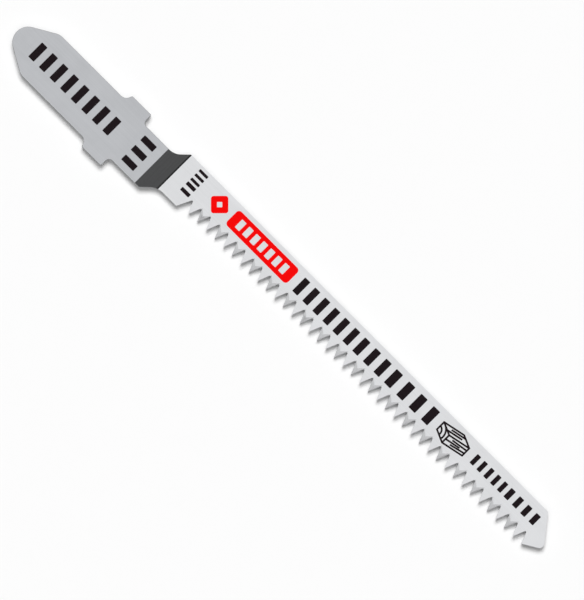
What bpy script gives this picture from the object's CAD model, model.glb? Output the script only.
from math import radians, sqrt, tan

import bmesh
import bpy
from mathutils import Matrix, Vector


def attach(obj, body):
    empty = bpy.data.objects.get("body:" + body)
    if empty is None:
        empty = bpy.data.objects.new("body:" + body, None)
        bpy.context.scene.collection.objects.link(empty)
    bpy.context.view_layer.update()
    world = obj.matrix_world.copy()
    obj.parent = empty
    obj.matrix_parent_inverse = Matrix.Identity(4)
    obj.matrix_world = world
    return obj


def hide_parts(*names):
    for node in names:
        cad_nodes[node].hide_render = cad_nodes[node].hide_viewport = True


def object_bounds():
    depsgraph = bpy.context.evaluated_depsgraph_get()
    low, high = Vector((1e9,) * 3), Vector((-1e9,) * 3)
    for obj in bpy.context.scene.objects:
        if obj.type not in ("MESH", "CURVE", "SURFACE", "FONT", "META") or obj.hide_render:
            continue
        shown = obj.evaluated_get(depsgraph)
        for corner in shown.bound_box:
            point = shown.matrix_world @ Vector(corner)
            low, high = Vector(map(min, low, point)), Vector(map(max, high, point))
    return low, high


# A T-shank jigsaw blade, lying flat with its printed face up. The frame is in metres. The blade's own
# surfaces are worked on in millimetres, so MM converts between the two.
MM = 0.001

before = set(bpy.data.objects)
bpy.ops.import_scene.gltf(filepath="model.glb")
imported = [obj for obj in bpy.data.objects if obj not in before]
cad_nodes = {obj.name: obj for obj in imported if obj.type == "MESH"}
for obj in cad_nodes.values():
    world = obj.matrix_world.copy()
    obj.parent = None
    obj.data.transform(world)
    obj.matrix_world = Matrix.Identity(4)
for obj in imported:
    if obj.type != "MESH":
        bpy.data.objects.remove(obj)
cad_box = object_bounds()

# Places along the blade, in millimetres from the frame's origin, as the CAD model has them
RAMP_START = -20.04
RAMP_END = -17.67
TEETH_START = -14.9
TEETH_END = 39.75
TEETH_TOP = 1.05

# How far a face's normal leans towards the printed or the back face, at least, on a flat face and
# on a tooth's bevel
FLAT_LEAN = 0.98
BEVEL_LEAN = 0.2

# Cleaning the blade's mesh, in millimetres and radians
MERGE_DISTANCE = 0.0005
SAME_FACE_ANGLE = radians(0.2)
SHARP_ANGLE = radians(24)

# The dark line across the end of the ramp, where the ground face starts, in millimetres
DARK_LINE_START = RAMP_END - 0.24
DARK_LINE_FULL = RAMP_END - 0.14

# How much bluer than red the rolled steel of the tang is
TANG_BLUE = 1.06

# The camera looks straight down, turned so that the blade runs from the upper left to the lower right
CAMERA_TURN = radians(45)
CAMERA_LENS = 800.0
SENSOR = 36.0
IMAGE_HEIGHT = 67.62
AIM_RIGHT = 1.657
AIM_DOWN = 0.947

# The soft key light leans from the top of the picture, and makes the drop shadow under each edge
KEY_LEAN = radians(22)
KEY_TURN = radians(-4)
KEY_SPREAD = radians(24.5)
KEY_STRENGTH = 2.4

# The studio around the blade, as (height, level) stops from the horizon at 0 to straight up at 1
GIVEN_LIGHT = ((0.0, 0.15), (0.12, 0.15), (0.4, 0.08), (0.75, 0.08), (0.9, 1.0), (1.0, 1.0))
MIRRORED_LIGHT = ((0.0, 0.3), (0.15, 0.55), (0.5, 0.8), (0.75, 0.85), (0.9, 1.0), (1.0, 1.0))

# The bright low wall that the steel mirrors: full up to one height, and gone at the next
LOW_WALL_LEVEL = 1.0
LOW_WALL_FULL = 0.1
LOW_WALL_TOP = 0.3

# The floor, in metres across, and its gap under the blade, in millimetres
FLOOR_SIZE = 8.0
FLOOR_GAP = 0.01


# ---------------------------------------------------------------- node helpers


class Nodes:
    """A short way to add and join the nodes of one material or of the world."""

    def __init__(self, tree):
        self.tree = tree
        tree.nodes.clear()

    def add(self, kind, **settings):
        node = self.tree.nodes.new(kind)
        for name, value in settings.items():
            setattr(node, name, value)
        return node

    def join(self, source, socket):
        self.tree.links.new(source, socket)

    def value(self, socket, value):
        """Puts a number, a colour or another node's output into a socket."""
        if isinstance(value, bpy.types.NodeSocket):
            self.join(value, socket)
        else:
            socket.default_value = value

    def math(self, operation, a, b=0.0, c=0.0):
        node = self.add("ShaderNodeMath", operation=operation)
        for socket, value in zip(node.inputs, (a, b, c)):
            self.value(socket, value)
        return node.outputs[0]

    def remap(self, value, low, high, to_low, to_high):
        node = self.add("ShaderNodeMapRange")
        for socket, number in zip(node.inputs, (value, low, high, to_low, to_high)):
            self.value(socket, number)
        return node.outputs["Result"]

    def blend(self, share, a, b):
        node = self.add("ShaderNodeMix", data_type="RGBA")
        self.value(node.inputs["Factor"], share)
        self.value(node.inputs["A"], a)
        self.value(node.inputs["B"], b)
        return node.outputs["Result"]

    def place(self, stretch=(1, 1, 1), turn=0.0):
        """Object coordinates in millimetres, turned about Z and then stretched."""
        coordinates = self.add("ShaderNodeTexCoord")
        turned = self.add("ShaderNodeMapping")
        turned.inputs["Rotation"].default_value[2] = turn
        turned.inputs["Scale"].default_value = (1 / MM, 1 / MM, 1 / MM)
        self.join(coordinates.outputs["Object"], turned.inputs["Vector"])
        stretched = self.add("ShaderNodeMapping")
        stretched.inputs["Scale"].default_value = stretch
        self.join(turned.outputs["Vector"], stretched.inputs["Vector"])
        return stretched.outputs["Vector"]

    def noise(self, scale, detail=3.0, stretch=(1, 1, 1), turn=0.0, rough=0.5):
        node = self.add("ShaderNodeTexNoise")
        self.join(self.place(stretch, turn), node.inputs["Vector"])
        node.inputs["Scale"].default_value = scale
        node.inputs["Detail"].default_value = detail
        node.inputs["Roughness"].default_value = rough
        return node.outputs["Fac"]

    def scratches(self, turn, density, length=6.0, width=0.02, amount=0.06):
        """Thin straight scratches in one direction: 1 on a scratch and 0 elsewhere."""
        lines = self.noise(1.0, 1.0, (1 / length, 1 / width, 1 / width), turn)
        patches = self.noise(density, 1.0)
        keen = self.remap(lines, 0.5 + amount * 3.2, 0.5 + amount * 4.2, 0.0, 1.0)
        return self.math("MULTIPLY", keen, self.remap(patches, 0.5, 0.62, 0.0, 1.0))


def new_material(name):
    """An empty material with its shader joined up: the material, its nodes and the shader."""
    material = bpy.data.materials.new(name)
    material.use_nodes = True
    nodes = Nodes(material.node_tree)
    shader = nodes.add("ShaderNodeBsdfPrincipled")
    output = nodes.add("ShaderNodeOutputMaterial")
    nodes.join(shader.outputs["BSDF"], output.inputs["Surface"])
    return material, nodes, shader


def add_relief(nodes, shader, height, strength=0.3, depth=0.003):
    """Fine relief on a surface, with its depth in millimetres."""
    bump = nodes.add("ShaderNodeBump")
    bump.inputs["Strength"].default_value = strength
    bump.inputs["Distance"].default_value = depth * MM
    nodes.join(height, bump.inputs["Height"])
    nodes.join(bump.outputs["Normal"], shader.inputs["Normal"])


def grey(level, blue=1.03):
    """A steel grey, a touch cold."""
    return (level, level * (1 + (blue - 1) / 3), level * blue, 1.0)


# ---------------------------------------------------------------- materials


def tang_steel():
    """Cold-rolled strip with a fine satin grain, slightly streaked along its length."""
    material, nodes, shader = new_material("tang_steel")
    grain = nodes.noise(14.0, 4.0, rough=0.65)
    streaks = nodes.noise(1.0, 3.0, (0.09, 7.0, 7.0))
    clouds = nodes.noise(0.35, 2.0)
    tone = nodes.math("MULTIPLY_ADD", grain, 0.5, nodes.math("MULTIPLY", streaks, 0.5))
    tone = nodes.math("MULTIPLY_ADD", clouds, 0.35, nodes.math("MULTIPLY", tone, 0.65))
    dull = grey(0.498, TANG_BLUE)
    bright = grey(0.556, TANG_BLUE)
    colour = nodes.blend(nodes.remap(tone, 0.35, 0.65, 0.0, 1.0), dull, bright)
    scratch = nodes.scratches(radians(22), 0.5)
    colour = nodes.blend(nodes.math("MULTIPLY", scratch, 0.25), colour, grey(0.66, TANG_BLUE))
    nodes.join(colour, shader.inputs["Base Color"])
    nodes.join(nodes.remap(grain, 0.3, 0.7, 0.36, 0.48), shader.inputs["Roughness"])
    shader.inputs["Metallic"].default_value = 1.0
    height = nodes.math("MULTIPLY_ADD", streaks, 0.4, nodes.math("MULTIPLY", grain, 0.6))
    add_relief(nodes, shader, height, 0.25, 0.004)
    return material


def ground_steel(name, low, high, stretch, roughness, metallic=1.0):
    """Ground steel: fine lines along the wheel's path, over faint clouds."""
    material, nodes, shader = new_material(name)
    lines = nodes.noise(1.0, 4.0, stretch, rough=0.6)
    fine = nodes.noise(2.7, 2.0, stretch, rough=0.6)
    clouds = nodes.noise(0.3, 2.0)
    tone = nodes.math("MULTIPLY_ADD", lines, 0.6, nodes.math("MULTIPLY", clouds, 0.4))
    colour = nodes.blend(nodes.remap(tone, 0.38, 0.62, 0.0, 1.0), grey(low), grey(high))
    nodes.join(colour, shader.inputs["Base Color"])
    nodes.join(nodes.remap(fine, 0.3, 0.7, *roughness), shader.inputs["Roughness"])
    shader.inputs["Metallic"].default_value = metallic
    add_relief(nodes, shader, nodes.math("ADD", lines, fine))
    return material


def dark_ramp_steel():
    """The run-out of the grinding wheel: dark, with a darker line where the ground face starts."""
    material, nodes, shader = new_material("dark_ramp_steel")
    across = nodes.noise(1.0, 4.0, (9.0, 0.25, 0.25), rough=0.6)
    mottle = nodes.noise(3.0, 3.0)
    tone = nodes.math("MULTIPLY_ADD", across, 0.5, nodes.math("MULTIPLY", mottle, 0.5))
    colour = nodes.blend(nodes.remap(tone, 0.35, 0.65, 0.0, 1.0), grey(0.073), grey(0.087))
    coordinates = nodes.add("ShaderNodeTexCoord")
    split = nodes.add("ShaderNodeSeparateXYZ")
    nodes.join(coordinates.outputs["Object"], split.inputs[0])
    line = nodes.remap(split.outputs["X"], DARK_LINE_START * MM, DARK_LINE_FULL * MM, 0.0, 1.0)
    colour = nodes.blend(line, colour, grey(0.026))
    nodes.join(colour, shader.inputs["Base Color"])
    nodes.join(nodes.remap(mottle, 0.3, 0.7, 0.38, 0.5), shader.inputs["Roughness"])
    shader.inputs["Metallic"].default_value = 1.0
    add_relief(nodes, shader, across)
    return material


def ink(name, colour, worn):
    """Thin printed ink: even in colour, with a little mottle where it lies thinner."""
    material, nodes, shader = new_material(name)
    film = nodes.noise(5.0, 3.0, rough=0.6)
    specks = nodes.noise(22.0, 2.0)
    thin = nodes.remap(film, 0.45, 0.75, 0.0, 0.5)
    thin = nodes.math("MAXIMUM", thin, nodes.remap(specks, 0.72, 0.78, 0.0, 0.6))
    nodes.join(nodes.blend(thin, colour, worn), shader.inputs["Base Color"])
    nodes.join(nodes.remap(film, 0.3, 0.7, 0.38, 0.55), shader.inputs["Roughness"])
    shader.inputs["Specular IOR Level"].default_value = 0.05
    add_relief(nodes, shader, film)
    return material


def floor_paper():
    """Plain, matt, nearly white paper."""
    material, nodes, shader = new_material("floor_paper")
    fibre = nodes.noise(0.4, 2.0)
    colour = nodes.blend(fibre, (0.9, 0.9, 0.9, 1), (0.905, 0.905, 0.905, 1))
    nodes.join(colour, shader.inputs["Base Color"])
    shader.inputs["Roughness"].default_value = 1.0
    shader.inputs["Specular IOR Level"].default_value = 0.0
    return material


# ---------------------------------------------------------------- the blade


# The blade's finishes, in the order of its material slots
TANG, RAMP, FLANK, GULLET, BEVEL, EDGE = range(6)


def blade_mesh(cad):
    """A copy of the CAD blade's mesh, with its flat faces made whole and a finish for each face."""
    mesh = cad.data.copy()
    mesh.materials.clear()
    work = bmesh.new()
    work.from_mesh(mesh)
    bmesh.ops.scale(work, vec=(1 / MM, 1 / MM, 1 / MM), verts=work.verts)
    bmesh.ops.remove_doubles(work, verts=work.verts, dist=MERGE_DISTANCE)
    bmesh.ops.dissolve_limit(work, angle_limit=SAME_FACE_ANGLE, verts=work.verts, edges=work.edges)
    bmesh.ops.triangulate(work, faces=work.faces)
    bmesh.ops.dissolve_degenerate(work, dist=MERGE_DISTANCE, edges=work.edges)
    work.normal_update()
    for face in work.faces:
        face.material_index = zone(face)
        face.smooth = face.material_index not in (TANG, FLANK)
    bmesh.ops.scale(work, vec=(MM, MM, MM), verts=work.verts)
    work.to_mesh(mesh)
    work.free()
    return mesh


def zone(face):
    """Which finish a face of the blade has, from where it is and which way it faces."""
    centre = face.calc_center_median()
    lean = abs(face.normal.z)
    flat = lean > FLAT_LEAN
    if flat and centre.x < RAMP_START:
        return TANG
    if flat and centre.x < RAMP_END:
        return RAMP
    if flat:
        return FLANK
    if TEETH_START < centre.x < TEETH_END and centre.y < TEETH_TOP:
        return BEVEL if lean > BEVEL_LEAN else GULLET
    return EDGE


def mark_sharp_edges(mesh):
    """Keeps an edge crisp where two finishes meet or where the surface turns sharply."""
    work = bmesh.new()
    work.from_mesh(mesh)
    for edge in work.edges:
        zones = {face.material_index for face in edge.link_faces}
        edge.smooth = len(zones) == 1 and edge.calc_face_angle(0) < SHARP_ANGLE
    work.to_mesh(mesh)
    work.free()


def make_blade():
    """The steel blade, which stands for the CAD blade."""
    mesh = blade_mesh(cad_nodes["blade"])
    piece = bpy.data.objects.new("steel_blade", mesh)
    bpy.context.scene.collection.objects.link(piece)
    mesh.materials.append(tang_steel())
    mesh.materials.append(dark_ramp_steel())
    mesh.materials.append(ground_steel("flank_steel", 0.709, 0.764, (0.12, 16, 16), (0.3, 0.42)))
    mesh.materials.append(ground_steel("gullet_steel", 0.5, 0.58, (6, 6, 0.6), (0.35, 0.5), 0.3))
    mesh.materials.append(ground_steel("bevel_steel", 0.52, 0.59, (6, 6, 0.6), (0.35, 0.5), 0.3))
    mesh.materials.append(ground_steel("edge_steel", 0.38, 0.44, (9, 9, 1.5), (0.35, 0.5)))
    mark_sharp_edges(mesh)
    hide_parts("blade")
    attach(piece, "root")
    return piece


def ink_the_prints():
    """Gives the CAD model's printed marks their inks."""
    black = ink("black_ink", (0.0095, 0.0055, 0.007, 1), (0.018, 0.015, 0.016, 1))
    red = ink("red_ink", (0.84, 0.0, 0.0, 1), (0.8, 0.008, 0.008, 1))
    red_prints = ("emblem_print", "badge_print")
    for name, node in cad_nodes.items():
        if name.endswith("_print"):
            node.data.materials.clear()
            node.data.materials.append(red if name in red_prints else black)


# ---------------------------------------------------------------- stage


def make_floor():
    """A broad plain floor that the blade lies on."""
    height = cad_box[0].z - FLOOR_GAP * MM
    bpy.ops.mesh.primitive_plane_add(size=FLOOR_SIZE, location=(0, 0, height))
    floor = bpy.context.object
    floor.name = "floor"
    floor.data.materials.append(floor_paper())


def height_ramp(nodes, height, stops):
    """A level that changes smoothly with height, from (height, level) stops."""
    ramp = nodes.add("ShaderNodeValToRGB")
    ramp.color_ramp.interpolation = "EASE"
    while len(ramp.color_ramp.elements) < len(stops):
        ramp.color_ramp.elements.new(0.5)
    for element, (position, level) in zip(ramp.color_ramp.elements, stops):
        element.position = position
        element.color = (level, level, level, 1)
    nodes.join(height, ramp.inputs[0])
    return ramp.outputs["Color"]


def make_world():
    """A soft studio with a bright ceiling.

    The light that it gives comes mostly from the ceiling, so that shadows stay deep. What the steel
    mirrors is brighter: pale walls all round, with a bright low wall on the key light's side.
    """
    world = bpy.data.worlds.new("studio")
    bpy.context.scene.world = world
    world.use_nodes = True
    nodes = Nodes(world.node_tree)
    background = nodes.add("ShaderNodeBackground")
    output = nodes.add("ShaderNodeOutputWorld")
    nodes.join(background.outputs[0], output.inputs["Surface"])
    coordinates = nodes.add("ShaderNodeTexCoord")
    direction = coordinates.outputs["Generated"]
    split = nodes.add("ShaderNodeSeparateXYZ")
    nodes.join(direction, split.inputs[0])
    height = split.outputs["Z"]
    given = height_ramp(nodes, height, GIVEN_LIGHT)
    mirrored = height_ramp(nodes, height, MIRRORED_LIGHT)
    facing = nodes.add("ShaderNodeVectorMath", operation="DOT_PRODUCT")
    nodes.join(direction, facing.inputs[0])
    facing.inputs[1].default_value = key_side()
    lit_side = nodes.remap(facing.outputs["Value"], 0.1, 0.9, 0.0, 1.0)
    up_the_wall = nodes.remap(height, LOW_WALL_TOP, LOW_WALL_FULL, 0.0, LOW_WALL_LEVEL)
    low_wall = nodes.math("MULTIPLY", lit_side, up_the_wall)
    path = nodes.add("ShaderNodeLightPath")
    level = nodes.blend(path.outputs["Is Glossy Ray"], given, nodes.math("ADD", mirrored, low_wall))
    nodes.join(level, background.inputs["Color"])


def key_side():
    """The level direction that the key light leans from."""
    up_in_picture = Vector((-1, 1, 0)).normalized()
    return Matrix.Rotation(KEY_TURN, 3, "Z") @ up_in_picture


def make_key_light():
    """The soft key light. It shades the floor and the ink; the steel mirrors the studio instead."""
    light = bpy.data.lights.new("key", "SUN")
    light.energy = KEY_STRENGTH
    light.angle = KEY_SPREAD
    lamp = bpy.data.objects.new("key", light)
    bpy.context.scene.collection.objects.link(lamp)
    towards_light = key_side() * tan(KEY_LEAN) + Vector((0, 0, 1))
    lamp.rotation_mode = "QUATERNION"
    lamp.rotation_quaternion = towards_light.to_track_quat("Z", "Y")
    lamp.visible_glossy = False


def make_camera():
    """Straight down on the printed face, from far off with a long lens."""
    data = bpy.data.cameras.new("camera")
    data.lens = CAMERA_LENS
    data.sensor_width = SENSOR
    data.clip_start = 0.01
    data.clip_end = 10.0
    camera = bpy.data.objects.new("camera", data)
    bpy.context.scene.collection.objects.link(camera)
    right = Vector((1, 1, 0)) / sqrt(2)
    down = Vector((1, -1, 0)) / sqrt(2)
    aim = (right * AIM_RIGHT + down * AIM_DOWN) * MM
    distance = CAMERA_LENS * IMAGE_HEIGHT / SENSOR * MM
    camera.location = aim + Vector((0, 0, cad_box[1].z + distance))
    camera.rotation_euler = (0, 0, CAMERA_TURN)
    bpy.context.scene.camera = camera


bpy.context.scene.view_settings.view_transform = "Standard"
make_blade()
ink_the_prints()
make_floor()
make_world()
make_key_light()
make_camera()
